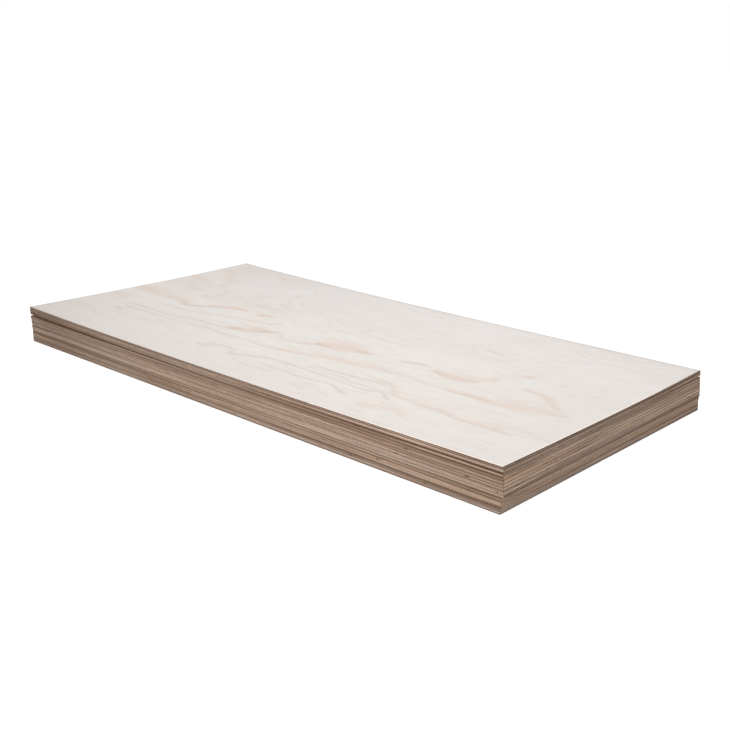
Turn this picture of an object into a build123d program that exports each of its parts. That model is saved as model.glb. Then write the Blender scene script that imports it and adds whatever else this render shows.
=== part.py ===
"""A stack of plywood sheets lying loose on each other, in millimetres.

The origin is the middle of the stack on the floor, X runs along the sheets, +Z is up. The lower sheets are
pressed flat. Further up the sheets curl: each is level at its middle and lifts towards its four edges.
"""
import os

from build123d import *

# Stock
SHEET_COUNT = 14
SHEET_LENGTH = 2440.0
SHEET_WIDTH = 1220.0
SHEET_THICKNESS = 9.5
SEAT_GAP = 0.2

# Lift of the topmost sheet's edges above its middle
LEFT_LIFT = 11.5
RIGHT_LIFT = 5.5
FRONT_LIFT = 3.5
BACK_LIFT = 6.5

# How many sheets at the bottom are pressed flat, and how many at the top lift freely at each edge
FLAT_COUNT = 5
LEFT_LOOSE_COUNT = 3
RIGHT_LOOSE_COUNT = 2
FRONT_LOOSE_COUNT = 2
BACK_LOOSE_COUNT = 2

# Shares of the topmost sheet's lift: what the sheets held down by those above grow towards at each edge,
# and what each loose sheet below the top lacks
LEFT_HELD_SHARE = 0.38
RIGHT_HELD_SHARE = 1.0
FRONT_HELD_SHARE = 0.9
BACK_HELD_SHARE = 0.34
LOOSE_STEP_SHARE = 0.07

# How far a sheet lies out of line with the stack: along X, along Y, and turned in degrees
SLIP = 5.0
TURN_ANGLE = 0.25

# Shares of slip along X, slip along Y and turn, one row for each sheet from the floor up
SLIP_SHARES = (
    (0.4, -0.1, -1.0),
    (0.4, -0.2, -0.9),
    (0.15, 0.25, -0.7),
    (0.1, 0.0, -0.65),
    (0.1, 0.3, -0.55),
    (0.55, 0.3, 0.0),
    (0.45, 0.1, 0.0),
    (0.2, 0.4, -0.1),
    (0.05, 0.2, 0.0),
    (-0.1, 0.3, -0.1),
    (-0.3, 0.0, -0.05),
    (-0.3, -0.1, -0.2),
    (-0.6, 0.1, 0.05),
    (-0.9, 0.2, 0.0),
)


def edge_lift(number, lift, held_share, loose_count):
    """Lift of one edge of a sheet: nothing low down, a little while held, nearly all of it once loose."""
    below_top = SHEET_COUNT - number
    if below_top < loose_count:
        return lift * (1 - LOOSE_STEP_SHARE * below_top)
    if number > FLAT_COUNT:
        return lift * held_share * (number - FLAT_COUNT) / (SHEET_COUNT - loose_count + 1 - FLAT_COUNT)
    return 0


def bow(span, start_lift, end_lift):
    """Control points of a cubic curve over a span: level and at zero in the middle, lifted at both ends."""
    heights = (
        start_lift,
        (end_lift - 2 * start_lift) / 3,
        (start_lift - 2 * end_lift) / 3,
        end_lift,
    )
    return [(span * (step / 3 - 1 / 2), height) for step, height in enumerate(heights)]


def dished_face(left, right, front, back):
    """Underside of a curled sheet: the lengthwise bow and the crosswise bow added together."""
    along = bow(SHEET_LENGTH, left, right)
    across = bow(SHEET_WIDTH, front, back)
    return Face.make_bezier_surface([[(x, y, rise + lift) for y, lift in across] for x, rise in along])


def sheet(number):
    """One sheet of the stack, in its place."""
    left = edge_lift(number, LEFT_LIFT, LEFT_HELD_SHARE, LEFT_LOOSE_COUNT)
    right = edge_lift(number, RIGHT_LIFT, RIGHT_HELD_SHARE, RIGHT_LOOSE_COUNT)
    front = edge_lift(number, FRONT_LIFT, FRONT_HELD_SHARE, FRONT_LOOSE_COUNT)
    back = edge_lift(number, BACK_LIFT, BACK_HELD_SHARE, BACK_LOOSE_COUNT)
    if number > FLAT_COUNT:
        underside = dished_face(left, right, front, back)
    else:
        underside = Rectangle(SHEET_LENGTH, SHEET_WIDTH)
    body = extrude(underside, amount=SHEET_THICKNESS, dir=(0, 0, 1))
    along, across, turn = SLIP_SHARES[(number - 1) % len(SLIP_SHARES)]
    seat = (number - 1) * (SHEET_THICKNESS + SEAT_GAP)
    return Pos(along * SLIP, across * SLIP, seat) * Rot(0, 0, turn * TURN_ANGLE) * body


os.makedirs("parts", exist_ok=True)
for number in range(1, SHEET_COUNT + 1):
    export_step(sheet(number), f"parts/sheet_{number:02d}.step")
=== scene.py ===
"""A stack of loose plywood sheets in a plain studio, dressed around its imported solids.

Lengths are metres. X runs along the sheets, Y across them, Z up, and the origin is on the floor under the
middle of the stack. Each sheet is one closed surface: a sawn edge of five veneers carried round its outline,
with a face and a back let into it.
"""

import math

import bpy
import numpy as np
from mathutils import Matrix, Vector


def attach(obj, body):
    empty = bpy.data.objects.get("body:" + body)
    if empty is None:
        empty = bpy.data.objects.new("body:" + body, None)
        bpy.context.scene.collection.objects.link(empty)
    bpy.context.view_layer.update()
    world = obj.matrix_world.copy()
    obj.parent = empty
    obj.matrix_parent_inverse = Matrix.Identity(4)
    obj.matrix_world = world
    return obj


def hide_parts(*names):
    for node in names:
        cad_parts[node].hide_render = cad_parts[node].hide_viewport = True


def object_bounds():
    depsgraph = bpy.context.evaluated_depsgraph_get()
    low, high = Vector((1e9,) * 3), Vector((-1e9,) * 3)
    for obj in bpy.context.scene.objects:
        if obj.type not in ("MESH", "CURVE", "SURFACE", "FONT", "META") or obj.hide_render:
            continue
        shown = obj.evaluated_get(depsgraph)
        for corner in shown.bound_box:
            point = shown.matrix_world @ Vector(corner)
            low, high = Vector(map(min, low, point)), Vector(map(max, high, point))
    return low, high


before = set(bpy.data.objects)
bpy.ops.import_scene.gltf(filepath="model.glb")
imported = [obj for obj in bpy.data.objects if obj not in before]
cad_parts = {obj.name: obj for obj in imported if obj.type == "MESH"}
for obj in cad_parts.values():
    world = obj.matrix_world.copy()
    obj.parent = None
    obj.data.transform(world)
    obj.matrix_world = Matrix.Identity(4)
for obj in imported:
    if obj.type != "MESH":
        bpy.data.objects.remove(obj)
cad_low, cad_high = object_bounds()

bl_info = {
    "name": "Plywood Stack",
    "version": (1, 0, 0),
    "blender": (4, 5, 0),
    "location": "View3D > Sidebar > Plywood",
    "description": "Builds a stack of loose plywood sheets with layered sawn edges and a grained face veneer",
    "category": "Add Mesh",
}

SHEET_NODES = sorted(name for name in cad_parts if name.startswith("sheet_"))
TOP_NODE = SHEET_NODES[-1]
INNER_NODES = SHEET_NODES[:-1]
PIECE_PREFIX = "plywood_"
SEED = 4100

# Columns of points along a long and a short side, and the cells of the face grids let into them
LONG_COLUMNS = 720
SHORT_COLUMNS = 360
FINE_CELL = (4, 1)
COARSE_CELL = (12, 12)

# Shares of the thickness taken by the five veneers, back to face
PLY_SHARES = (0.165, 0.225, 0.22, 0.225, 0.165)

# Dips round a sheet's outline: how many, then the shortest and the longest in metres
CHIPS = (26, 0.004, 0.03)
TEARS = (16, 0.01, 0.06)
VOIDS = (1, 0.01, 0.024)

# Height of a chip against its depth, and depth of a tear in a veneer cut along its fibres against the others
CHIP_HEIGHT_SHARE = 0.6
ALONG_TEAR_SHARE = 0.25

# Width between the rim of a face and the grid let into it, the angle from which an edge is sharp, and the
# pull towards no lift when a sheet is measured
FACE_MARGIN = 0.006
SHARP_ANGLE = math.radians(28)
FLATTENING_PULL = 0.01

# Material slots of a sheet
FACE_SLOT, SIDE_GRAIN_SLOT, END_GRAIN_SLOT, GLUE_SLOT = range(4)

# Lightness of each sheet's sawn edge at the left end and the front corner of the long side, then at the front
# corner and the right end of the short side, and how grey it is, from the floor up. The lightness is partly
# the veneers' own tone and partly painted light and shade for how light falls on each side and end
SIDE_TONES_AND_LIGHT = (
    (0.92, 1.06, 1.15, 0.98, 0.15),
    (0.68, 0.6, 1.24, 1.1, 0.08),
    (0.92, 0.93, 1.34, 1.0, 0.08),
    (0.9, 0.96, 1.12, 1.14, 0.0),
    (0.78, 0.94, 1.6, 1.3, 0.0),
    (1.04, 1.0, 0.56, 0.76, 0.06),
    (1.16, 1.26, 1.24, 1.1, 0.06),
    (1.0, 0.9, 1.38, 1.34, 0.04),
    (0.96, 0.84, 1.54, 1.38, 0.0),
    (0.88, 1.0, 1.14, 0.82, 0.0),
    (0.7, 0.64, 1.04, 0.8, 0.0),
    (0.5, 1.5, 0.68, 0.72, -0.05),
    (0.56, 1.56, 1.06, 0.92, 0.0),
    (0.61, 0.56, 0.65, 0.36, 0.05),
)

# How dark the painted shade of each line between two sheets is at the left end, halfway along the front and
# at the front corner of the long side, then at the front corner and the right end of the short side, from the
# line on the floor up to the corner of the topmost face. A line below zero is painted light.
LINE_SHADE_SHARES = (
    (1.0, 1.1, 1.2, 1.3, 2.2),
    (0.35, 0.0, 0.1, -0.1, 0.1),
    (0.0, 0.25, 0.7, -0.2, 0.1),
    (0.2, 0.1, -0.4, -0.1, -0.05),
    (0.7, 0.25, 0.4, 0.05, 0.05),
    (0.5, 0.4, 0.05, 0.8, 0.7),
    (-0.15, -0.1, -0.05, -0.8, -0.8),
    (0.2, 0.0, 0.05, -0.8, -0.8),
    (-0.25, -0.1, -0.2, -0.1, -0.4),
    (-0.3, -0.25, 0.3, -1.0, -0.1),
    (0.1, 0.1, 0.65, -1.0, -1.1),
    (1.15, 0.95, 0.9, -1.1, -0.8),
    (-0.2, 0.2, 2.6, -0.8, -0.9),
    (-0.1, -0.15, -0.1, -0.3, -0.35),
    (0.6, 1.5, 1.0, 1.1, 1.5),
)

# Width of the broken corners at each of those lines against the plain width
ARRIS_SHARES = (1.0, 0.5, 1.3, 0.4, 1.2, 1.4, 0.5, 0.4, 0.5, 0.4, 0.4, 0.8, 0.9, 0.3, 1.0)

# Lightness of a broken corner without a line, what share of a line's painted shade reaches the veneers of a
# sheet, from the nearest on, and the darkest and lightest of a broken corner and of a veneer
PLAIN_ARRIS_TONE = 0.9
LINE_SHADE_REACH_SHARES = (0.75, 0.42, 0.0, 0.0, 0.0)
ARRIS_TONE_RANGE = (0.1, 1.9)
VENEER_TONE_RANGE = (0.2, 1.9)

# Growth bands of the top veneer: strength, then points along the band as millimetres from the left front
# corner along and across the sheet, with the band's half width there
GROWTH_BANDS = (
    (0.55, ((250, 318, 6), (370, 326, 7), (440, 319, 7), (560, 333, 5), (680, 337, 7), (760, 344, 9),
            (830, 338, 11), (920, 345, 11), (980, 352, 11), (1040, 341, 11), (1120, 340, 11), (1160, 352, 14),
            (1200, 362, 20), (1260, 372, 15), (1300, 392, 17), (1360, 410, 23), (1440, 413, 28),
            (1500, 428, 26), (1560, 440, 20), (1620, 445, 12), (1700, 448, 10), (1745, 447, 9),
            (1790, 429, 11), (1860, 432, 13), (1930, 431, 15), (2000, 430, 20))),
    (0.8, ((1980, 432, 14), (2060, 430, 24), (2150, 432, 34), (2200, 445, 38), (2250, 468, 42),
            (2300, 472, 26), (2345, 478, 6))),
    (0.8, ((2290, 520, 12), (2245, 556, 16), (2200, 594, 16), (2150, 608, 15), (2095, 616, 11))),
    (0.35, ((2110, 490, 24), (2200, 505, 36), (2270, 500, 26))),
    (0.6, ((210, 358, 6), (300, 365, 7), (400, 362, 8), (470, 366, 11), (520, 369, 7), (600, 383, 8),
            (640, 398, 9), (700, 401, 14), (760, 404, 14), (800, 414, 16))),
    (1.4, ((800, 414, 15), (850, 440, 24), (885, 450, 32), (920, 466, 24), (950, 490, 11), (980, 502, 9))),
    (0.55, ((980, 502, 9), (1012, 499, 10), (1040, 480, 12), (1052, 456, 10), (1090, 463, 12),
           (1130, 473, 16), (1170, 482, 16), (1205, 497, 14))),
    (1.45, ((1215, 515, 20), (1280, 530, 38), (1340, 532, 44), (1395, 545, 28), (1440, 546, 5))),
    (0.45, ((1380, 566, 9), (1300, 576, 10), (1220, 590, 10), (1165, 593, 8))),
    (0.85, ((5, 560, 50), (100, 562, 52), (200, 556, 44), (270, 552, 30))),
    (0.9, ((260, 552, 22), (310, 553, 28), (350, 535, 26), (400, 517, 18), (430, 528, 12), (465, 555, 14),
            (500, 580, 18), (535, 602, 20), (600, 630, 19), (648, 634, 11))),
    (0.55, ((350, 460, 5), (400, 456, 6), (450, 460, 6), (520, 475, 7), (570, 488, 9), (600, 500, 10),
            (620, 514, 9), (660, 524, 8), (700, 530, 8), (750, 545, 14), (800, 552, 18), (850, 562, 12),
            (880, 570, 7), (902, 602, 6))),
    (0.55, ((875, 196, 8), (915, 184, 15), (945, 197, 8))),
    (0.65, ((905, 214, 6), (960, 238, 10), (1000, 240, 8), (1040, 224, 8), (1060, 200, 10), (1076, 187, 18),
           (1105, 197, 12), (1125, 216, 12), (1160, 230, 9), (1185, 237, 7))),
    (0.5, ((1790, 114, 16), (1830, 116, 32), (1880, 136, 44), (1935, 146, 36), (1980, 122, 16))),
    (0.3, ((1810, 290, 26), (1870, 296, 38), (1925, 284, 28))),
    (0.35, ((1780, 203, 8), (1825, 187, 10), (1860, 168, 10))),
    (0.6, ((1700, 320, 6), (1760, 318, 7), (1790, 296, 9), (1802, 266, 9), (1850, 247, 11), (1900, 248, 11),
           (1950, 246, 10), (2010, 256, 18), (2060, 240, 10), (2100, 227, 12), (2140, 224, 20))),
    (0.75, ((2130, 228, 16), (2200, 230, 26), (2260, 232, 24), (2300, 218, 9), (2322, 230, 5))),
    (0.4, ((2315, 262, 6), (2380, 268, 10), (2435, 260, 10))),
    (0.4, ((1625, 345, 12), (1700, 343, 16), (1735, 340, 8))),
    (0.6, ((1590, 560, 9), (1620, 578, 12), (1660, 590, 11), (1702, 592, 9))),
    (1.25, ((1752, 570, 12), (1785, 552, 20), (1830, 543, 26), (1890, 547, 22), (1930, 568, 12))),
    (0.6, ((1890, 575, 14), (1930, 595, 18), (1960, 628, 24), (1950, 650, 12))),
    (0.6, ((1910, 700, 10), (1950, 690, 16), (2000, 715, 30), (2040, 733, 20), (2030, 756, 10))),
    (0.5, ((215, 286, 10), (245, 272, 16), (282, 256, 10))),
    (0.85, ((738, 628, 20), (768, 645, 26), (795, 655, 12))),
    (0.5, ((40, 420, 30), (110, 412, 32))),
    (0.4, ((620, 745, 15), (665, 750, 14))),
    (0.5, ((350, 685, 20), (385, 700, 26), (370, 745, 20), (345, 800, 16))),
    (0.4, ((1290, 1140, 22), (1310, 1130, 20))),
    (0.4, ((630, 975, 20), (655, 970, 20))),
    (0.5, ((90, 785, 26), (180, 742, 34), (250, 722, 18))),
    (0.65, ((25, 872, 32), (110, 846, 38))),
    (0.3, ((1030, 672, 10), (1070, 650, 12))),
    (0.25, ((2290, 76, 16), (2335, 66, 18))),
    (0.25, ((2265, 668, 10), (2312, 692, 12), (2322, 735, 14), (2300, 790, 12))),
    (0.5, ((60, 1155, 42), (120, 1120, 50))),
    (0.6, ((80, 1040, 55), (150, 980, 60), (230, 905, 40))),
    (0.35, ((340, 1150, 20), (410, 1100, 18))),
)

# Thin grain lines of the top veneer: strength, then points along the line in the same millimetres
GRAIN_LINES = (
    (0.4, ((1120, 152), (1180, 136), (1225, 130), (1280, 146), (1345, 150))),
    (0.6, ((1255, 182), (1300, 173), (1360, 181), (1420, 181), (1470, 176), (1540, 186), (1590, 190))),
    (0.8, ((1590, 190), (1640, 171), (1680, 156), (1705, 148))),
    (0.65, ((1185, 238), (1220, 250), (1280, 251), (1340, 250), (1400, 246), (1470, 241), (1520, 241),
           (1600, 236), (1700, 230), (1740, 232))),
    (0.5, ((1390, 281), (1500, 276), (1560, 275), (1610, 262), (1680, 262), (1760, 256))),
    (0.8, ((1760, 256), (1780, 249), (1800, 229), (1832, 213))),
    (0.65, ((1400, 300), (1480, 306), (1560, 308), (1640, 316), (1700, 320))),
    (0.3, ((1480, 120), (1520, 126), (1552, 128))),
    (0.3, ((1330, 212), (1460, 206))),
    (0.25, ((1480, 101), (1560, 96))),
    (0.3, ((1620, 101), (1670, 91))),
    (0.4, ((1655, 186), (1740, 196))),
    (0.2, ((350, 166), (410, 146))),
    (0.25, ((450, 251), (500, 251))),
    (0.45, ((520, 281), (552, 266))),
    (0.25, ((610, 266), (640, 246), (690, 231), (750, 236))),
    (0.25, ((670, 168), (710, 159), (760, 166), (800, 151), (830, 136), (862, 118))),
    (0.35, ((2190, 161), (2220, 176), (2252, 191))),
    (0.25, ((2255, 119), (2340, 123))),
    (0.25, ((320, 690), (340, 669), (375, 661), (410, 673), (440, 696))),
    (0.3, ((2230, 666), (2270, 671))),
    (0.45, ((2163, 752), (2182, 735))),
    (0.3, ((150, 441), (175, 446))),
    (0.8, ((868, 566), (890, 568))),
    (0.8, ((895, 594), (906, 606))),
    (0.5, ((1090, 652), (1122, 660))),
    (0.3, ((1110, 690), (1200, 701))),
)
GRAIN_LINE_HALF_WIDTH = 7.5
GRAIN_LINE_STRENGTH = 0.68

# How steeply a band falls off in front of its middle and behind it, how strong the line along its edge is on
# either side, and the half width in metres from which that line fades
BAND_STEEPNESS = (1.35, 0.8)
BAND_EDGE_SHARES = (0.85, 0.3)
WIDE_BAND_HALF = 0.026

# Arched figures of the top veneer: middle along and across, reach, all in millimetres, and strength
GROWTH_ARCHES = (
    (775, 900, 240, 0.28),
    (1082, 890, 230, 0.32),
    (1782, 1000, 190, 0.28),
    (420, 1050, 240, 0.22),
)

# Millimetres in a metre, for the tables above
MILLIMETRES = 1000

# Metres between rings on plain wood and in an arched figure, and how much longer than wide a figure is
RING_STEP = 0.045
ARCH_RING_STEP = 0.04
ARCH_STRETCH = 1.15

# How far painted shade reaches in from the rim of an inner sheet, how far a darkening reaches in from the
# back edge of the topmost face, how far a painted shade reaches in from that face's left edge, and the width
# of its handled rim
INNER_RIM_SHADE_REACH = 0.05
BACK_DARKENING_REACH = 0.03
LEFT_SHADE_REACH = 0.4
RIM_WIDTH = 0.007

# Points along each side of the floor, how far it lies below the stack, and from where to where its glow fades
FLOOR_POINTS = 9
FLOOR_DROP = 0.0005
GLOW_FADE = (0.15, 0.45)

# Width of the camera's sensor in millimetres, and how many metres the camera sees
SENSOR_WIDTH = 36.0
CLIP_END = 200.0


class SheetSettings(bpy.types.PropertyGroup):
    """Sizes of the sawn edges."""

    arris: bpy.props.FloatProperty(
        name="Arris",
        description="Width of the broken corner where a face meets a sawn edge",
        default=0.0004,
        unit="LENGTH",
    )
    glue_line: bpy.props.FloatProperty(
        name="Glue line",
        description="Height of the dark line between two veneers",
        default=0.00022,
        unit="LENGTH",
    )
    ply_wave: bpy.props.FloatProperty(
        name="Veneer wave",
        description="How far the glue lines wander up and down along an edge",
        default=0.00016,
        unit="LENGTH",
    )
    side_recess: bpy.props.FloatProperty(
        name="Side grain recess",
        description="How far veneers cut along their fibres lie behind the sawn plane at most",
        default=0.00012,
        unit="LENGTH",
    )
    end_recess: bpy.props.FloatProperty(
        name="End grain recess",
        description="How far veneers cut across their fibres lie behind the sawn plane at most",
        default=0.0004,
        unit="LENGTH",
    )
    tear_depth: bpy.props.FloatProperty(
        name="Tear depth",
        description="Deepest tear where the saw pulled fibres out of a cross veneer",
        default=0.0009,
        unit="LENGTH",
    )
    void_depth: bpy.props.FloatProperty(
        name="Void depth",
        description="Deepest hollow where two strips of a core veneer don't meet",
        default=0.006,
        unit="LENGTH",
    )
    chip_depth: bpy.props.FloatProperty(
        name="Chip depth",
        description="Deepest chip along a corner of a face veneer",
        default=0.0012,
        unit="LENGTH",
    )


class VeneerColours(bpy.types.PropertyGroup):
    """Colours of the wood."""

    face_pale: bpy.props.FloatVectorProperty(
        name="Face, early wood",
        description="Pale ground of the face veneer",
        default=(0.662, 0.624, 0.6),
        size=3,
        subtype="COLOR",
    )
    face_fibre: bpy.props.FloatVectorProperty(
        name="Face, fibre",
        description="Slightly darker fibres in the ground of the face veneer",
        default=(0.612, 0.567, 0.537),
        size=3,
        subtype="COLOR",
    )
    face_cool: bpy.props.FloatVectorProperty(
        name="Face, cool tint",
        description="What the face veneer is multiplied by towards its back edge",
        default=(0.98, 0.992, 1.0),
        size=3,
        subtype="COLOR",
    )
    face_ring: bpy.props.FloatVectorProperty(
        name="Face, ring line",
        description="Thin grey ring lines of the face veneer",
        default=(0.44, 0.38, 0.325),
        size=3,
        subtype="COLOR",
    )
    face_band: bpy.props.FloatVectorProperty(
        name="Face, late wood",
        description="Peach growth bands of the face veneer",
        default=(0.608, 0.5, 0.432),
        size=3,
        subtype="COLOR",
    )
    # Painted shade in the gaps between the inner sheets and towards the topmost face's left front, with dust
    # and handling along the rims
    face_dust_and_shade: bpy.props.FloatVectorProperty(
        name="Face, rim",
        description="Handled and dusty rim of a face veneer",
        default=(0.15, 0.085, 0.046),
        size=3,
        subtype="COLOR",
    )
    face_corner: bpy.props.FloatVectorProperty(
        name="Face, corner",
        description="Clean cut corner of the topmost face veneer",
        default=(0.78, 0.69, 0.6),
        size=3,
        subtype="COLOR",
    )
    side_pale: bpy.props.FloatVectorProperty(
        name="Edge, pale streak",
        description="Palest streaks of veneers cut along their fibres",
        default=(0.3, 0.226, 0.168),
        size=3,
        subtype="COLOR",
    )
    side_dark: bpy.props.FloatVectorProperty(
        name="Edge, dark streak",
        description="Darkest streaks of veneers cut along their fibres",
        default=(0.115, 0.07, 0.046),
        size=3,
        subtype="COLOR",
    )
    end_pale: bpy.props.FloatVectorProperty(
        name="End grain, pale",
        description="Palest part of veneers cut across their fibres",
        default=(0.237, 0.168, 0.13),
        size=3,
        subtype="COLOR",
    )
    end_dark: bpy.props.FloatVectorProperty(
        name="End grain, dark",
        description="Pores and late wood of veneers cut across their fibres",
        default=(0.095, 0.06, 0.041),
        size=3,
        subtype="COLOR",
    )
    resin: bpy.props.FloatVectorProperty(
        name="Edge, resin",
        description="Orange brown patches along the sawn edges",
        default=(0.25, 0.14, 0.075),
        size=3,
        subtype="COLOR",
    )
    # Painted shade: dark brown of the lines between the sheets, which darker edge cells are also taken
    # towards
    line: bpy.props.FloatVectorProperty(
        name="Edge, line",
        description="Darkest brown of the lines between the sheets",
        default=(0.055, 0.022, 0.009),
        size=3,
        subtype="COLOR",
    )
    glue: bpy.props.FloatVectorProperty(
        name="Glue line",
        description="Dark resin glue between the veneers",
        default=(0.11, 0.068, 0.045),
        size=3,
        subtype="COLOR",
    )


class StudioSettings(bpy.types.PropertyGroup):
    """The plain studio and its camera."""

    floor_size: bpy.props.FloatProperty(
        name="Floor",
        description="Side of the pale floor",
        default=60.0,
        unit="LENGTH",
    )
    floor_glow: bpy.props.FloatProperty(
        name="Floor glow",
        description="Light added to the floor by the stack so that shadows on it stay faint",
        default=0.45,
        min=0.0,
    )
    far_glow: bpy.props.FloatProperty(
        name="Far floor glow",
        description="Light added to the floor further away",
        default=0.16,
        min=0.0,
    )
    sky: bpy.props.FloatProperty(
        name="Surround",
        description="Strength of the even white light from all round",
        default=1.0,
        min=0.0,
    )
    lamp_size: bpy.props.FloatProperty(
        name="Soft light width",
        description="Width of each of the two soft lights",
        default=1.6,
        unit="LENGTH",
    )
    key_height: bpy.props.FloatProperty(
        name="Key light depth",
        description="Other side of the soft light overhead",
        default=1.6,
        unit="LENGTH",
    )
    fill_height: bpy.props.FloatProperty(
        name="Front light height",
        description="Other side of the low soft light",
        default=0.24,
        unit="LENGTH",
    )
    key_power: bpy.props.FloatProperty(
        name="Key light",
        description="Power of the soft light overhead",
        default=19.0,
        unit="POWER",
    )
    key_place: bpy.props.FloatVectorProperty(
        name="Key light place",
        description="Middle of the soft light overhead",
        default=(0.5, -0.3, 2.3),
        subtype="XYZ",
        unit="LENGTH",
    )
    fill_power: bpy.props.FloatProperty(
        name="Front light",
        description="Power of the soft light low in front of the long side",
        default=29.0,
        unit="POWER",
    )
    fill_place: bpy.props.FloatVectorProperty(
        name="Front light place",
        description="Middle of the soft light low in front of the long side",
        default=(0.6, -2.4, 0.12),
        subtype="XYZ",
        unit="LENGTH",
    )
    camera_place: bpy.props.FloatVectorProperty(
        name="Camera place",
        description="Where the camera stands",
        default=(2.7982, -2.9487, 1.3304),
        subtype="XYZ",
        unit="LENGTH",
    )
    camera_turn: bpy.props.FloatVectorProperty(
        name="Camera turn",
        description="How the camera is turned",
        default=(math.radians(72.286), math.radians(-0.874), math.radians(42.29)),
        subtype="EULER",
        unit="ROTATION",
    )
    camera_lens: bpy.props.FloatProperty(
        name="Lens",
        description="Focal length on a sensor 36 mm wide",
        default=53.362,
        unit="CAMERA",
    )


# Shape of a sheet


def measured_form(node_name):
    """Size, place and curl of a sheet, measured on its solid.

    The four outermost corners give the middle, the turn, the length and the width. A least squares fit over
    the points of the underside and the upper face gives the seat height, the lift of the left, right, front
    and back edges and the thickness. A slight pull towards no lift settles sheets that have corners only.
    """
    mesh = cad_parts[node_name].data
    points = np.empty(len(mesh.vertices) * 3)
    mesh.vertices.foreach_get("co", points)
    points = points.reshape(-1, 3)
    corners = np.empty(len(mesh.loop_triangles) * 3, dtype=np.int32)
    mesh.loop_triangles.foreach_get("vertices", corners)
    corners = corners.reshape(-1, 3)
    a, b, c = (points[corners[:, k]] for k in range(3))
    normals = np.cross(b - a, c - a)
    normals /= np.maximum(np.linalg.norm(normals, axis=1, keepdims=True), 1e-12)

    signs = np.array([(-1, -1), (1, -1), (1, 1), (-1, 1)])
    flat = points[:, :2]
    outer = flat[np.argmax(flat @ signs.T, axis=0)]
    middle = outer.mean(axis=0)
    along = (outer[1] + outer[2] - outer[0] - outer[3]) / 2
    across = (outer[2] + outer[3] - outer[0] - outer[1]) / 2
    length = np.linalg.norm(along)
    width = np.linalg.norm(across)
    turn = math.atan2(along[1], along[0])

    under = points[np.unique(corners[normals[:, 2] < -0.5])]
    upper = points[np.unique(corners[normals[:, 2] > 0.5])]
    sides = np.concatenate([under, upper])
    local = (sides[:, :2] - middle) @ np.array([[math.cos(turn), -math.sin(turn)],
                                                [math.sin(turn), math.cos(turn)]])
    x = local[:, 0] / (length / 2)
    y = local[:, 1] / (width / 2)
    is_upper = np.concatenate([np.zeros(len(under)), np.ones(len(upper))])
    basis = np.stack([np.ones_like(x), x * x * (1 - x) / 2, x * x * (1 + x) / 2,
                      y * y * (1 - y) / 2, y * y * (1 + y) / 2, is_upper], axis=1)
    pull = FLATTENING_PULL * np.eye(6)[1:5]
    values = np.linalg.lstsq(np.concatenate([basis, pull]),
                             np.concatenate([sides[:, 2], np.zeros(4)]), rcond=None)[0]
    return {
        "middle": middle,
        "turn": turn,
        "length": length,
        "width": width,
        "seat": values[0],
        "lifts": values[1:5],
        "thickness": values[5],
    }


def placed(form, x, y, height):
    """Points of a sheet from metres along and across its middle and the height above its underside.

    The underside is level in the middle and rises with the square of the share of the way to each edge, by
    that edge's own lift. The whole is then turned and moved to its place in the stack.
    """
    share_x = x / (form["length"] / 2)
    share_y = y / (form["width"] / 2)
    left, right, front, back = form["lifts"]
    rise = share_x ** 2 * (left * (1 - share_x) + right * (1 + share_x)) / 2
    rise = rise + share_y ** 2 * (front * (1 - share_y) + back * (1 + share_y)) / 2
    cos, sin = math.cos(form["turn"]), math.sin(form["turn"])
    return np.stack([
        form["middle"][0] + cos * x - sin * y,
        form["middle"][1] + sin * x + cos * y,
        form["seat"] + rise + height,
    ], axis=-1)


def outline():
    """Once round a sheet from its left front corner: shares of its half sizes, which way is out, and whether
    a point is on a long side."""
    along = np.linspace(-1, 1, LONG_COLUMNS, endpoint=False)
    across = np.linspace(-1, 1, SHORT_COLUMNS, endpoint=False)
    x = np.concatenate([along, np.ones(SHORT_COLUMNS), -along, -np.ones(SHORT_COLUMNS)])
    y = np.concatenate([-np.ones(LONG_COLUMNS), across, np.ones(LONG_COLUMNS), -across])
    out_x = np.where(np.abs(x) > 1 - 1e-9, np.sign(x), 0)
    out_y = np.where(np.abs(y) > 1 - 1e-9, np.sign(y), 0)
    is_long = np.concatenate([np.ones(LONG_COLUMNS, bool), np.zeros(SHORT_COLUMNS, bool)] * 2)
    return x, y, out_x, out_y, is_long


def outline_run(form):
    """Metres passed at each point of the outline."""
    step = np.where(outline()[4], form["length"] / LONG_COLUMNS, form["width"] / SHORT_COLUMNS)
    return np.concatenate([[0], np.cumsum(step)[:-1]])


def round_outline(form, left, middle, front, turned, right):
    """Values round the outline of a sheet.

    They run straight from the left end of the long side over its middle to the front corner, from that corner
    along the short side to the right end, and back along the hidden sides.
    """
    length, width = form["length"], form["width"]
    corner = length + width / SHORT_COLUMNS
    places = (0, length / 2, length, corner, length + width, 2 * length + width, 2 * (length + width))
    return np.interp(outline_run(form), places, (left, middle, front, turned, right, left, left))


def eased(share):
    """A share from 0 to 1 that starts and ends level: three times its square less twice its cube."""
    return share * share * (3 - 2 * share)


def wander(rng, run, step):
    """A smooth closed random line from -1 to 1: values drawn about every step, eased into each other."""
    count = max(4, round(run[-1] / step))
    knots = rng.uniform(-1, 1, count)
    place = run / (run[-1] + run[1]) * count
    low = np.floor(place).astype(int)
    share = eased(place - low)
    return knots[low % count] * (1 - share) + knots[(low + 1) % count] * share


def drift(rng, x, y, size_x, size_y):
    """A smooth random field from -1 to 1: values drawn on a lattice of that size, eased into each other."""
    place_x = (x - x.min()) / size_x
    place_y = (y - y.min()) / size_y
    low_x = np.floor(place_x).astype(int)
    low_y = np.floor(place_y).astype(int)
    knots = rng.uniform(-1, 1, (low_x.max() + 2, low_y.max() + 2))
    share_x = eased(place_x - low_x)
    share_y = eased(place_y - low_y)
    near = knots[low_x, low_y] * (1 - share_x) + knots[low_x + 1, low_y] * share_x
    far = knots[low_x, low_y + 1] * (1 - share_x) + knots[low_x + 1, low_y + 1] * share_x
    return near * (1 - share_y) + far * share_y


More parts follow.
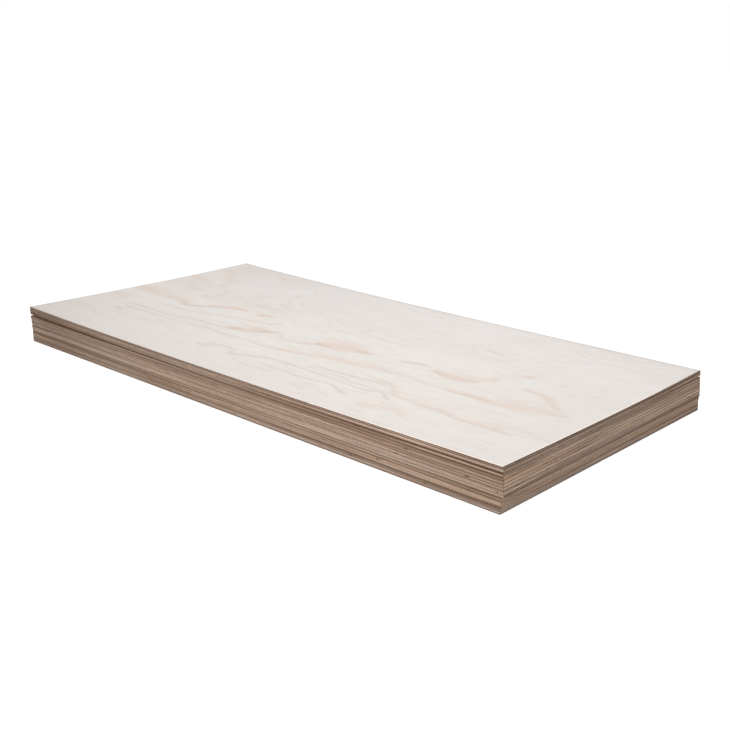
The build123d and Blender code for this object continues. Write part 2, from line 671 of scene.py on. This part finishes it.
def hollows(rng, run, count, shortest, longest, depth):
    """Rounded dips at random places round the outline: depth times one minus the square of the share of the
    dip's half length, at most one dip at a point."""
    around = run[-1] + run[1]
    place = rng.uniform(0, around, count)
    half = rng.uniform(shortest, longest, count) / 2
    deep = depth * rng.uniform(0.3, 1, count)
    apart = np.abs((run[:, None] - place + around / 2) % around - around / 2) / half
    return (deep * np.clip(1 - apart ** 2, 0, None)).max(axis=1)


def edge_rows(form, rng, lower_arris, upper_arris):
    """The sawn edge as rows of points round the sheet, from the back's rim up to the face's rim.

    The profile is a broken corner, then each veneer as an upright strip with a narrow glue line to the next,
    then the other broken corner. Along the outline each strip lies behind the sawn plane by its recess, its
    tears and its voids, the glue lines wander up and down, and chips widen the broken corners.
    """
    sizes = bpy.context.scene.plywood_sheet
    x, y, out_x, out_y, is_long = outline()
    run = outline_run(form)
    last = len(PLY_SHARES) - 1
    bounds = np.concatenate([[0], np.cumsum(PLY_SHARES)]) * form["thickness"] / sum(PLY_SHARES)

    lower_chips, upper_chips = (hollows(rng, run, *CHIPS, sizes.chip_depth) for side in range(2))
    heights = [np.zeros_like(run)]
    insets = [lower_arris + lower_chips]
    lower = lower_arris + CHIP_HEIGHT_SHARE * lower_chips
    for ply in range(last + 1):
        along_cut = is_long == (ply % 2 == 0)
        recess = np.where(along_cut, sizes.side_recess, sizes.end_recess)
        inset = recess * (0.5 + 0.25 * wander(rng, run, 0.12) + 0.25 * wander(rng, run, 0.012))
        tears = hollows(rng, run, *TEARS, sizes.tear_depth)
        inset = inset + np.where(along_cut, ALONG_TEAR_SHARE * tears, tears)
        if 0 < ply < last:
            inset = inset + hollows(rng, run, *VOIDS, sizes.void_depth)
        if ply < last:
            line = bounds[ply + 1] + sizes.ply_wave * wander(rng, run, 0.15)
            upper = line - sizes.glue_line / 2
        else:
            upper = form["thickness"] - upper_arris - CHIP_HEIGHT_SHARE * upper_chips
        heights += [lower, upper]
        insets += [inset, inset]
        lower = upper + sizes.glue_line
    heights = np.stack(heights + [np.full_like(run, form["thickness"])])
    insets = np.stack(insets + [upper_arris + upper_chips])
    along = x * form["length"] / 2 - out_x * insets
    across = y * form["width"] / 2 - out_y * insets
    return placed(form, along, across, heights)


def face_grid(form, cell, height):
    """A grid of points over a face, a little inside its rim, and its points as metres from the middle."""
    x = np.linspace(-1, 1, LONG_COLUMNS // cell[0] + 1) * (form["length"] / 2 - FACE_MARGIN)
    y = np.linspace(-1, 1, SHORT_COLUMNS // cell[1] + 1) * (form["width"] / 2 - FACE_MARGIN)
    x, y = np.meshgrid(x, y, indexing="ij")
    return placed(form, x, y, np.full_like(x, height)).reshape(-1, 3), x.ravel(), y.ravel()


def grid_squares(number):
    """Squares between the numbered points of a grid, anticlockwise seen from above."""
    corners = (number[:-1, :-1], number[1:, :-1], number[1:, 1:], number[:-1, 1:])
    return np.stack(corners, axis=-1).reshape(-1, 4)


def face_polygons(first, rim, cell):
    """Squares of a face grid that starts at a point number, and the fans that join it to a finer rim.

    Each grid point on the outside owns the nearer half of the rim's steps on either side of it, and one
    triangle closes the middle of each stretch. All run anticlockwise seen from above.
    """
    columns = LONG_COLUMNS // cell[0]
    rows = SHORT_COLUMNS // cell[1]
    number = first + np.arange((columns + 1) * (rows + 1)).reshape(columns + 1, rows + 1)
    border = np.concatenate([number[:-1, 0], number[-1, :-1], number[:0:-1, -1], number[0, :0:-1]])
    steps = np.tile(np.repeat(cell, (columns, rows)), 2)
    starts = np.cumsum(steps) - steps
    halves = (steps + 1) // 2
    stretch = np.repeat(np.arange(len(border)), steps)
    within = np.arange(len(rim)) - starts[stretch]
    owner = border[(stretch + (within >= halves[stretch])) % len(border)]
    fans = np.stack([rim, np.roll(rim, -1), owner], axis=1)
    middles = rim[(starts + halves) % len(rim)]
    closers = np.stack([border, middles, np.roll(border, -1)], axis=1)
    return grid_squares(number), np.concatenate([fans, closers])


# Figure and tone of a sheet


def stretch_distances(x, y, start, end):
    """Distance of points from a straight stretch, its part along Y, and the share of the way along it."""
    way = end - start
    share = np.clip(((x - start[0]) * way[0] + (y - start[1]) * way[1]) / (way @ way), 0, 1)
    apart_y = y - start[1] - share * way[1]
    return np.hypot(x - start[0] - share * way[0], apart_y), apart_y, share


def figure_fields(rng, x, y, form):
    """Strength of the peach growth bands and of the thin brown grain lines over the top face, from 0 to 1.

    The points are first moved a little by smooth random fields, so that the figure wavers as grain does. For
    every stretch of a band the strength is the band's own times a bell of the distance to that stretch over
    its half width there, steeper on the side towards the front edge, where a line runs along the band's edge
    unless the band is wide. On the other side a wider, weaker bell makes a soft skirt.
    The thin lines are bells of their own. The strongest stretch counts, and the lines come and go.
    """
    x = x + 0.006 * drift(rng, x, y, 0.2, 0.08)
    y = y + 0.003 * drift(rng, x, y, 0.16, 0.06) + 0.002 * drift(rng, x, y, 0.07, 0.02)
    y = y + 0.004 * drift(rng, x, y, 0.05, 0.02)
    bands = np.zeros_like(x)
    lines = np.zeros_like(x)
    corner = np.array([form["length"] / 2, form["width"] / 2])
    line_half = GRAIN_LINE_HALF_WIDTH / MILLIMETRES
    for strength, stations in GROWTH_BANDS:
        stations = np.array(stations) / MILLIMETRES
        centres = stations[:, :2] - corner
        halves = stations[:, 2]
        for start, end, half_start, half_end in zip(centres[:-1], centres[1:], halves[:-1], halves[1:]):
            apart, apart_y, share = stretch_distances(x, y, start, end)
            half = half_start + share * (half_end - half_start)
            bell = np.exp(-((np.where(apart_y < 0, *BAND_STEEPNESS) * apart / half) ** 2))
            behind = 0.5 + 0.5 * np.tanh(2 * apart_y / half)
            skirt = 0.5 * np.exp(-((apart / (2.2 * half + 0.006)) ** 2)) * behind
            bands = np.maximum(bands, strength * np.maximum(bell, skirt))
            edge = np.exp(-(((apart - 0.5 * half) / line_half) ** 2))
            edge = edge * np.where(apart_y < 0, *BAND_EDGE_SHARES)
            lines = np.maximum(lines, strength * edge * np.clip(1.7 - half / WIDE_BAND_HALF, 0.1, 1))
    bands = bands * (1 + 0.25 * drift(rng, x, y, 0.2, 0.06) + 0.3 * drift(rng, x, y, 0.06, 0.025))
    lines = lines * (0.8 + 0.4 * drift(rng, x, y, 0.14, 0.05))
    for strength, stations in GRAIN_LINES:
        centres = np.array(stations) / MILLIMETRES - corner
        for start, end in zip(centres[:-1], centres[1:]):
            apart = stretch_distances(x, y, start, end)[0]
            lines = np.maximum(lines, strength * np.exp(-((apart / line_half) ** 2)))
    return np.clip(bands, 0, 1), np.clip(GRAIN_LINE_STRENGTH * lines, 0, 1)


def ring_fields(rng, x, y, form):
    """Count of growth rings passed, and how clearly they show, over a face.

    Away from the arched figures the count follows the distance across the sheet, bent in long waves and by a
    smooth random field. Inside a figure it follows the distance from the figure's middle, and the two are
    blended by a bell. A figure shows on its side towards the front edge only, so that its rings are arches.
    How clearly the rings show comes and goes with another random field.
    """
    across = y + 0.05 * np.sin(2.6 * x + 0.6) + 0.05 * drift(rng, x, y, 0.5, 0.3)
    count = across / RING_STEP
    clear = (0.07 + 0.07 * drift(rng, x, y, 0.45, 0.12)) * (1 + 0.6 * np.clip(y / 0.25, 0, 1))
    for along, over, reach, strength in GROWTH_ARCHES:
        apart_x = x - along / MILLIMETRES + form["length"] / 2
        apart_y = y - over / MILLIMETRES + form["width"] / 2
        apart = np.hypot(apart_x / ARCH_STRETCH, apart_y)
        bell = np.exp(-(apart / (reach / MILLIMETRES)) ** 2)
        count = count * (1 - bell) + bell * (apart / ARCH_RING_STEP)
        shown = np.clip(0.2 - apart_y / 0.1, 0, 1)
        clear = np.maximum(clear, strength * bell * shown)
    return count, np.clip(clear * (0.8 + 0.5 * drift(rng, x, y, 0.12, 0.12)), 0, 1)


def nearness(distance, reach):
    """One at no distance, falling straight to zero at the reach."""
    return np.clip(1 - distance / reach, 0, 1)


def rim_fields(x, y, form, with_figure):
    """How much painted shade, dust and handling darken a face, and how clean its cut corner is, from 0 to 1.

    An inner sheet is darkened all round its rim by painted shade for the gaps between the sheets. The topmost
    face is darker along its back edge, has a painted shade towards its left front corner and its left end,
    and a narrow rim in front and at the right that is handled at one end and freshly cut at the other.
    """
    inside_x = form["length"] / 2 - np.abs(x)
    inside_y = form["width"] / 2 - np.abs(y)
    if not with_figure:
        # Painted shade round the rim of an inner sheet, where the gaps between the sheets are
        dust_and_shade = nearness(np.minimum(inside_x, inside_y), INNER_RIM_SHADE_REACH) * np.clip(0.95 + 0.1 * x, 0.8, 1)
        return dust_and_shade, np.zeros_like(x)
    dust_and_shade = 0.15 * nearness(inside_y, BACK_DARKENING_REACH) * (y > 0)
    # Painted shade towards the left front corner and along the left end
    dust_and_shade += 0.1 * np.clip(-0.1 - y / 0.55, 0, 1) * np.clip(0.6 - x / 1.6, 0, 1)
    dust_and_shade += 0.08 * nearness(x + form["length"] / 2, LEFT_SHADE_REACH) * np.clip(0.2 - y / 0.7, 0, 1)
    front_rim = nearness(y + form["width"] / 2, RIM_WIDTH)
    right_rim = nearness(inside_x, RIM_WIDTH) * (x > 0)
    clean = front_rim * np.interp(x, (0.2, 0.7), (0, 1))
    clean = np.maximum(clean, right_rim * np.interp(y, (-0.6, -0.3, 0.1, 0.55), (0.1, 1, 0.8, 0)))
    dust_and_shade += 0.35 * front_rim * np.interp(x, (0.0, 0.5), (1, 0))
    dust_and_shade += 0.65 * right_rim * np.interp(y, (0.2, 0.55), (0, 1))
    return dust_and_shade, clean


def line_shade_darkness(rng, form, number):
    """How dark the painted shade of one of the lines between sheets is round the outline, wavering a little.
    """
    return round_outline(form, *LINE_SHADE_SHARES[number]) * (1 + 0.2 * wander(rng, outline_run(form), 0.3))


def edge_finish(rng, form, number, row_count, with_figure):
    """Material slot and lightness of each cell of the sawn edge, row by row from the back up.

    A broken corner is as dark as the painted shade of its line, and the topmost one is face veneer. A veneer
    has the sheet's own lightness round the outline, partly painted light for each side, times a random share,
    less the painted shade that reaches it from the two lines, and wavers.
    """
    is_long = outline()[4]
    run = outline_run(form)
    left, front, turned, right = SIDE_TONES_AND_LIGHT[number][:4]
    side_tone_and_light = round_outline(form, left, (left + front) / 2, front, turned, right)
    below, above = (line_shade_darkness(rng, form, number + side) for side in range(2))
    top_row = row_count - 2
    slots = []
    tones = []
    for row in range(top_row + 1):
        ply, is_glue = divmod(row - 1, 2)
        slot = np.where(is_long == (ply % 2 == 0), SIDE_GRAIN_SLOT, END_GRAIN_SLOT)
        tone = np.ones_like(run)
        if row == top_row and with_figure:
            slot = np.full_like(slot, FACE_SLOT)
        elif row in (0, top_row):
            # The painted shade of the line darkens the broken corner
            line = above if row else below
            tone = np.clip(PLAIN_ARRIS_TONE - LINE_SHADE_REACH_SHARES[0] * line, *ARRIS_TONE_RANGE)
        elif is_glue:
            slot = np.full_like(slot, GLUE_SLOT)
        else:
            tone = 1 + 0.16 * rng.standard_normal()
            # Painted shade of the lines below and above darkens the veneers next to them
            tone = tone - LINE_SHADE_REACH_SHARES[ply] * below - LINE_SHADE_REACH_SHARES[-1 - ply] * above
            waver = 1 + 0.1 * wander(rng, run, 0.6) + 0.06 * wander(rng, run, 0.15)
            tone = side_tone_and_light * np.clip(tone, *VENEER_TONE_RANGE) * waver
        slots.append(slot)
        tones.append(tone)
    return np.concatenate(slots), np.concatenate(tones)


def carry(mesh, name, domain, values):
    """Lets a mesh carry one value for each of its faces or points."""
    mesh.attributes.new(name, "FLOAT", domain).data.foreach_set("value", values.astype(np.float32))


def sheet_piece(node_name, with_figure):
    """Builds one sheet as a closed surface in the place of its solid and gives it its woods."""
    number = SHEET_NODES.index(node_name)
    rng = np.random.default_rng(SEED + number)
    form = measured_form(node_name)
    arris = bpy.context.scene.plywood_sheet.arris
    rows = edge_rows(form, rng, arris * ARRIS_SHARES[number], arris * ARRIS_SHARES[number + 1])
    row_count, around = rows.shape[:2]
    face_cell = FINE_CELL if with_figure else COARSE_CELL
    face, face_x, face_y = face_grid(form, face_cell, form["thickness"])
    back, back_x, back_y = face_grid(form, COARSE_CELL, 0.0)

    ring = np.arange(row_count * around).reshape(row_count, around)
    following = np.roll(ring, -1, axis=1)
    strips = np.stack([ring[:-1], following[:-1], following[1:], ring[1:]], axis=-1).reshape(-1, 4)
    face_squares, face_fans = face_polygons(ring.size, ring[-1], face_cell)
    back_squares, back_fans = face_polygons(ring.size + len(face), ring[0], COARSE_CELL)
    points = np.concatenate([rows.reshape(-1, 3), face, back])
    polygons = strips.tolist() + face_squares.tolist() + face_fans.tolist()
    polygons += back_squares[:, ::-1].tolist() + back_fans[:, ::-1].tolist()
    name = PIECE_PREFIX + node_name
    mesh = bpy.data.meshes.new(name)
    mesh.from_pydata(points.tolist(), [], polygons)
    mesh.update()

    slots, tones = edge_finish(rng, form, number, row_count, with_figure)
    flat_count = len(polygons) - len(strips)
    slots = np.concatenate([slots, np.full(flat_count, FACE_SLOT)])
    tones = np.concatenate([tones, np.full(flat_count, 1 + 0.02 * rng.standard_normal())])
    mesh.polygons.foreach_set("material_index", slots.astype(np.int32))
    carry(mesh, "tone", "FACE", tones)
    carry(mesh, "grey", "FACE", np.full(len(polygons), SIDE_TONES_AND_LIGHT[number][4]))

    share_x, share_y = outline()[:2]
    x = np.concatenate([np.tile(share_x * form["length"] / 2, row_count), face_x, back_x])
    y = np.concatenate([np.tile(share_y * form["width"] / 2, row_count), face_y, back_y])
    rings, clear = ring_fields(rng, x, y, form)
    bands, lines = figure_fields(rng, x, y, form) if with_figure else (np.zeros_like(x), np.zeros_like(x))
    dust_and_shade, clean = rim_fields(x, y, form, with_figure)
    fields = {"band": bands, "grain_line": lines, "ring_count": rings, "ring_clear": clear,
              "dusty_rim": dust_and_shade, "clean_corner": clean}
    for label, values in fields.items():
        carry(mesh, label, "POINT", values)

    for label, build in WOODS:
        mesh.materials.append(material_of(label, build))
    mesh.shade_smooth()
    mesh.set_sharp_from_angle(angle=SHARP_ANGLE)
    piece = bpy.data.objects.new(name, mesh)
    bpy.context.scene.collection.objects.link(piece)
    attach(piece, "root")
    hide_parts(node_name)


# Materials


def material_of(name, build):
    """The material of that name, built the first time that it is asked for."""
    if name not in bpy.data.materials:
        material = bpy.data.materials.new(name)
        material.use_nodes = True
        build(material.node_tree, material.node_tree.nodes["Principled BSDF"])
    return bpy.data.materials[name]


def add(tree, kind, inputs=None, **settings):
    """Adds one node: its settings, then each input either linked from a socket or set to a value."""
    node = tree.nodes.new(kind)
    for name, value in settings.items():
        setattr(node, name, value)
    for place, value in (inputs or {}).items():
        if isinstance(value, bpy.types.NodeSocket):
            tree.links.new(value, node.inputs[place])
        else:
            node.inputs[place].default_value = value
    return node


def own_place(tree):
    """The piece's own coordinates."""
    return add(tree, "ShaderNodeTexCoord").outputs["Object"]


def streaks(tree, scale, detail=3.0, roughness=0.55, distortion=0.0):
    """Noise on the piece's own coordinates, drawn out by one scale for each axis."""
    drawn = add(tree, "ShaderNodeMapping", {"Vector": own_place(tree), "Scale": scale}).outputs[0]
    noise = add(tree, "ShaderNodeTexNoise", {
        "Vector": drawn, "Scale": 1.0, "Detail": detail, "Roughness": roughness, "Distortion": distortion})
    return noise.outputs["Fac"]


def carried(tree, name):
    """A value carried by the mesh."""
    return add(tree, "ShaderNodeAttribute", attribute_name=name).outputs["Fac"]


def ranged(tree, value, low, high, to_low, to_high, kind="LINEAR"):
    """A value brought from one range to another and held inside it."""
    return add(tree, "ShaderNodeMapRange", {
        "Value": value, "From Min": low, "From Max": high, "To Min": to_low, "To Max": to_high,
    }, interpolation_type=kind).outputs["Result"]


def stepped(tree, value, low, high):
    """A value brought from a range to 0 to 1, eased at both ends."""
    return ranged(tree, value, low, high, 0.0, 1.0, "SMOOTHSTEP")


def reckoned(tree, operation, first, second=0.0, third=0.0):
    """One step of arithmetic."""
    return add(tree, "ShaderNodeMath", {0: first, 1: second, 2: third}, operation=operation).outputs[0]


def mixed(tree, share, first, second, blend="MIX"):
    """Two colours mixed by a share."""
    sockets = {0: share, 6: first, 7: second}
    return add(tree, "ShaderNodeMix", sockets, data_type="RGBA", blend_type=blend).outputs[2]


def opaque(colour):
    """A colour property as four numbers."""
    return (*colour, 1.0)


def scaled(tree, colour, factor):
    """A colour times a factor."""
    return add(tree, "ShaderNodeVectorMath", {0: colour, "Scale": factor}, operation="SCALE").outputs[0]


def roughened(tree, shader, height, distance, strength):
    """Bump from a height in metres of distance."""
    bump = add(tree, "ShaderNodeBump", {"Strength": strength, "Distance": distance, "Height": height})
    tree.links.new(bump.outputs["Normal"], shader.inputs["Normal"])


def weathered_and_shaded(tree, colour):
    """An edge colour by the lightness and greyness that the mesh carries and by broad streaks of both.

    Below one the lightness takes the colour towards the dark brown painted shade of the lines, above one it
    scales it up, which paints light where a line is light.
    """
    broad = ranged(tree, streaks(tree, (2.4, 2.4, 130.0), 2.0, 0.5), 0.25, 0.75, 0.7, 1.3)
    tone = reckoned(tree, "MULTIPLY", carried(tree, "tone"), broad)
    dimmed = mixed(tree, reckoned(tree, "MINIMUM", tone, 1.0),
                   opaque(bpy.context.scene.plywood_colours.line), colour)
    lit = scaled(tree, dimmed, reckoned(tree, "MAXIMUM", tone, 1.0))
    stain = streaks(tree, (1.1, 1.1, 45.0), 2.0, 0.5)
    greyness = reckoned(tree, "MULTIPLY_ADD", stain, 0.5, carried(tree, "grey"))
    vivid = reckoned(tree, "SUBTRACT", 1.26, greyness)
    return add(tree, "ShaderNodeHueSaturation", {"Saturation": vivid, "Color": lit}).outputs[0]


def face_veneer(tree, shader):
    """Pale softwood veneer: fibres along the sheet, thin ring lines and soft peach growth bands."""
    colours = bpy.context.scene.plywood_colours
    fibre = streaks(tree, (7.0, 210.0, 7.0), 4.0, 0.6)
    cloud = streaks(tree, (1.3, 4.0, 1.3), 2.0, 0.5)
    ripple = streaks(tree, (4.0, 16.0, 4.0), 3.0, 0.5)
    streak = streaks(tree, (2.5, 80.0, 2.5), 3.0, 0.6)
    wisp = streaks(tree, (9.0, 42.0, 9.0), 4.0, 0.65, 1.2)

    ground = mixed(tree, stepped(tree, fibre, 0.35, 0.7),
                   opaque(colours.face_pale), opaque(colours.face_fibre))
    clouded = reckoned(tree, "MULTIPLY", stepped(tree, cloud, 0.4, 0.7), 0.5)
    ground = mixed(tree, clouded, ground, opaque(colours.face_fibre))

    turns = reckoned(tree, "MULTIPLY_ADD", ripple, 2.2, carried(tree, "ring_count"))
    wave = reckoned(tree, "SINE", reckoned(tree, "MULTIPLY", turns, math.tau))
    line = reckoned(tree, "MULTIPLY", stepped(tree, wave, -0.3, 1.0), carried(tree, "ring_clear"))
    line = reckoned(tree, "MULTIPLY", line, stepped(tree, cloud, 0.3, 0.6))
    ground = mixed(tree, line, ground, opaque(colours.face_ring))

    ground = scaled(tree, ground, ranged(tree, wisp, 0.3, 0.7, 0.965, 1.03))
    across = add(tree, "ShaderNodeSeparateXYZ", {"Vector": own_place(tree)}).outputs["Y"]
    ground = mixed(tree, stepped(tree, across, -0.4, 0.6), ground, opaque(colours.face_cool), "MULTIPLY")

    torn = reckoned(tree, "MULTIPLY_ADD", reckoned(tree, "SUBTRACT", fibre, 0.5), 0.7, carried(tree, "band"))
    torn = ranged(tree, torn, 0.08, 0.92, 0.0, 1.0)
    band = reckoned(tree, "MULTIPLY", torn, stepped(tree, streak, 0.05, 0.65))
    ground = mixed(tree, band, ground, opaque(colours.face_band))
    line = reckoned(tree, "MULTIPLY", carried(tree, "grain_line"), stepped(tree, fibre, 0.15, 0.6))
    ground = mixed(tree, line, ground, opaque(colours.face_ring))
    # The rim mask paints shade at the gaps and towards the left front, and adds dust and handling at the rims
    dust_and_shade = carried(tree, "dusty_rim")
    ground = mixed(tree, dust_and_shade, ground, opaque(colours.face_dust_and_shade))
    ground = mixed(tree, carried(tree, "clean_corner"), ground, opaque(colours.face_corner))
    tree.links.new(scaled(tree, ground, carried(tree, "tone")), shader.inputs["Base Color"])

    tree.links.new(ranged(tree, dust_and_shade, 0.0, 1.0, 0.22, 0.0), shader.inputs["Specular IOR Level"])
    tree.links.new(ranged(tree, fibre, 0.0, 1.0, 0.62, 0.8), shader.inputs["Roughness"])
    roughened(tree, shader, fibre, 0.0003, 0.25)


def sawn_finish(tree, shader, wood_colour, fine, resin_share, smoothest, roughest):
    """What both cuts share: resin patches, weathering with painted shade and light, hardly any gloss and a
    rough sawn surface.
    """
    patch = streaks(tree, (1.6, 1.6, 75.0))
    resin = reckoned(tree, "MULTIPLY", stepped(tree, patch, 0.5, 0.75), resin_share)
    wood_colour = mixed(tree, resin, wood_colour, opaque(bpy.context.scene.plywood_colours.resin))
    tree.links.new(weathered_and_shaded(tree, wood_colour), shader.inputs["Base Color"])
    shader.inputs["Specular IOR Level"].default_value = 0.08
    tree.links.new(ranged(tree, fine, 0.0, 1.0, smoothest, roughest), shader.inputs["Roughness"])
    roughened(tree, shader, fine, 0.0002, 0.3)


def side_grain(tree, shader):
    """Veneer cut along its fibres: long pale and dark streaks with orange brown patches."""
    colours = bpy.context.scene.plywood_colours
    streak = streaks(tree, (1.2, 1.2, 330.0))
    fibre = streaks(tree, (20.0, 20.0, 1300.0), 3.0, 0.6)
    grain = reckoned(tree, "MULTIPLY_ADD", fibre, 0.3, reckoned(tree, "MULTIPLY", streak, 0.7))
    cut = mixed(tree, stepped(tree, grain, 0.33, 0.6), opaque(colours.side_dark), opaque(colours.side_pale))
    sawn_finish(tree, shader, cut, fibre, 0.25, 0.68, 0.88)


def end_grain(tree, shader):
    """Veneer cut across its fibres: darker, with flat lying rings, fine pores and a rough sawn face."""
    colours = bpy.context.scene.plywood_colours
    ring = streaks(tree, (2.5, 2.5, 600.0))
    pore = streaks(tree, (420.0, 420.0, 700.0), 2.0, 0.6)
    grain = reckoned(tree, "MULTIPLY_ADD", pore, 0.25, reckoned(tree, "MULTIPLY", ring, 0.75))
    cut = mixed(tree, stepped(tree, grain, 0.34, 0.64), opaque(colours.end_dark), opaque(colours.end_pale))
    sawn_finish(tree, shader, cut, pore, 0.2, 0.8, 0.95)


def glue_resin(tree, shader):
    """Dark glue between the veneers, broken along its length."""
    colours = bpy.context.scene.plywood_colours
    broken = streaks(tree, (60.0, 60.0, 200.0), 3.0, 0.6)
    resin = mixed(tree, stepped(tree, broken, 0.45, 0.7), opaque(colours.glue), opaque(colours.end_dark))
    tree.links.new(resin, shader.inputs["Base Color"])
    tree.links.new(ranged(tree, broken, 0.0, 1.0, 0.5, 0.7), shader.inputs["Roughness"])


# Materials of a sheet in the order of its slots
WOODS = (
    ("pale_face_veneer", face_veneer),
    ("ply_side_grain", side_grain),
    ("ply_end_grain", end_grain),
    ("ply_glue_line", glue_resin),
)


def floor_paper(tree, shader):
    """Matt white floor with a trace of tooth that glows a little, less so away from the stack."""
    studio = bpy.context.scene.plywood_studio
    tooth = streaks(tree, (90.0, 90.0, 90.0), 2.0, 0.5)
    white = mixed(tree, tooth, (0.86, 0.86, 0.86, 1.0), (0.88, 0.88, 0.88, 1.0))
    tree.links.new(white, shader.inputs["Base Color"])
    shader.inputs["Roughness"].default_value = 0.9
    shader.inputs["Specular IOR Level"].default_value = 0.0
    shader.inputs["Emission Color"].default_value = (1.0, 1.0, 1.0, 1.0)
    axes = add(tree, "ShaderNodeSeparateXYZ", {"Vector": own_place(tree)}).outputs
    beside = [reckoned(tree, "SUBTRACT", reckoned(tree, "ABSOLUTE", axes[k]), cad_high[k]) for k in range(2)]
    glow = ranged(tree, reckoned(tree, "MAXIMUM", *beside), *GLOW_FADE,
                  studio.floor_glow, studio.far_glow, "SMOOTHSTEP")
    tree.links.new(glow, shader.inputs["Emission Strength"])


# Studio


def studio_floor(studio):
    """A level grid of points a hair below the stack."""
    reach = np.linspace(-studio.floor_size / 2, studio.floor_size / 2, FLOOR_POINTS)
    x, y = np.meshgrid(reach, reach, indexing="ij")
    points = np.stack([x, y, np.full_like(x, -FLOOR_DROP)], axis=-1).reshape(-1, 3)
    squares = grid_squares(np.arange(x.size).reshape(x.shape))
    mesh = bpy.data.meshes.new("studio_floor")
    mesh.from_pydata(points.tolist(), [], squares.tolist())
    mesh.materials.append(material_of("white_floor", floor_paper))
    return bpy.data.objects.new("studio_floor", mesh)


def soft_light(name, power, width, height, place):
    """A rectangular lamp that looks at the middle of the stack and isn't seen itself."""
    lamp = bpy.data.lights.new(name, "AREA")
    lamp.energy = power
    lamp.shape = "RECTANGLE"
    lamp.size = width
    lamp.size_y = height
    light = bpy.data.objects.new(name, lamp)
    light.visible_camera = False
    light.location = place
    light.rotation_euler = ((cad_low + cad_high) / 2 - light.location).to_track_quat("-Z", "Y").to_euler()
    return light


def studio_camera(studio):
    """The camera at its place, with a level field as wide as its sensor."""
    lens = bpy.data.cameras.new("studio_camera")
    lens.sensor_fit = "HORIZONTAL"
    lens.sensor_width = SENSOR_WIDTH
    lens.lens = studio.camera_lens
    lens.clip_end = CLIP_END
    camera = bpy.data.objects.new("studio_camera", lens)
    camera.location = studio.camera_place
    camera.rotation_euler = studio.camera_turn
    return camera


class PLYWOOD_OT_inner_sheets(bpy.types.Operator):
    """Build the sheets under the topmost one"""

    bl_idname = "plywood.inner_sheets"
    bl_label = "Inner Sheets"
    bl_options = {"REGISTER", "UNDO"}

    def execute(self, context):
        for node_name in INNER_NODES:
            sheet_piece(node_name, False)
        return {"FINISHED"}


class PLYWOOD_OT_top_sheet(bpy.types.Operator):
    """Build the topmost sheet with its figured face veneer"""

    bl_idname = "plywood.top_sheet"
    bl_label = "Top Sheet"
    bl_options = {"REGISTER", "UNDO"}

    def execute(self, context):
        sheet_piece(TOP_NODE, True)
        return {"FINISHED"}


class PLYWOOD_OT_studio(bpy.types.Operator):
    """Build the floor, the light and the camera"""

    bl_idname = "plywood.studio"
    bl_label = "Studio"
    bl_options = {"REGISTER", "UNDO"}

    def execute(self, context):
        scene = context.scene
        studio = scene.plywood_studio
        width = studio.lamp_size
        floor = studio_floor(studio)
        key = soft_light("studio_key", studio.key_power, width, studio.key_height, studio.key_place)
        fill = soft_light("studio_fill", studio.fill_power, width, studio.fill_height, studio.fill_place)
        camera = studio_camera(studio)
        for thing in (floor, key, fill, camera):
            scene.collection.objects.link(thing)

        world = bpy.data.worlds.new("studio_surround")
        world.use_nodes = True
        background = world.node_tree.nodes["Background"]
        background.inputs["Color"].default_value = (1.0, 1.0, 1.0, 1.0)
        background.inputs["Strength"].default_value = studio.sky
        scene.world = world
        scene.camera = camera
        scene.view_settings.view_transform = "Standard"
        scene.view_settings.look = "None"
        return {"FINISHED"}


class PLYWOOD_PT_stack(bpy.types.Panel):
    """Sidebar list of what can be built"""

    bl_label = "Plywood Stack"
    bl_space_type = "VIEW_3D"
    bl_region_type = "UI"
    bl_category = "Plywood"

    def draw(self, context):
        layout = self.layout
        scene = context.scene
        for operator in (PLYWOOD_OT_inner_sheets, PLYWOOD_OT_top_sheet, PLYWOOD_OT_studio):
            layout.operator(operator.bl_idname)
        for settings in (scene.plywood_sheet, scene.plywood_colours, scene.plywood_studio):
            box = layout.box()
            for name in type(settings).__annotations__:
                box.prop(settings, name)


CLASSES = (
    SheetSettings,
    VeneerColours,
    StudioSettings,
    PLYWOOD_OT_inner_sheets,
    PLYWOOD_OT_top_sheet,
    PLYWOOD_OT_studio,
    PLYWOOD_PT_stack,
)


def register():
    """Registers the classes and hangs the settings on the scene."""
    for one in CLASSES:
        bpy.utils.register_class(one)
    bpy.types.Scene.plywood_sheet = bpy.props.PointerProperty(type=SheetSettings)
    bpy.types.Scene.plywood_colours = bpy.props.PointerProperty(type=VeneerColours)
    bpy.types.Scene.plywood_studio = bpy.props.PointerProperty(type=StudioSettings)


def unregister():
    """Takes the settings off the scene and the classes out again."""
    del bpy.types.Scene.plywood_studio
    del bpy.types.Scene.plywood_colours
    del bpy.types.Scene.plywood_sheet
    for one in reversed(CLASSES):
        bpy.utils.unregister_class(one)


def main():
    """Builds the whole scene."""
    register()
    bpy.ops.plywood.inner_sheets()
    bpy.ops.plywood.top_sheet()
    bpy.ops.plywood.studio()


if __name__ == "__main__":
    main()
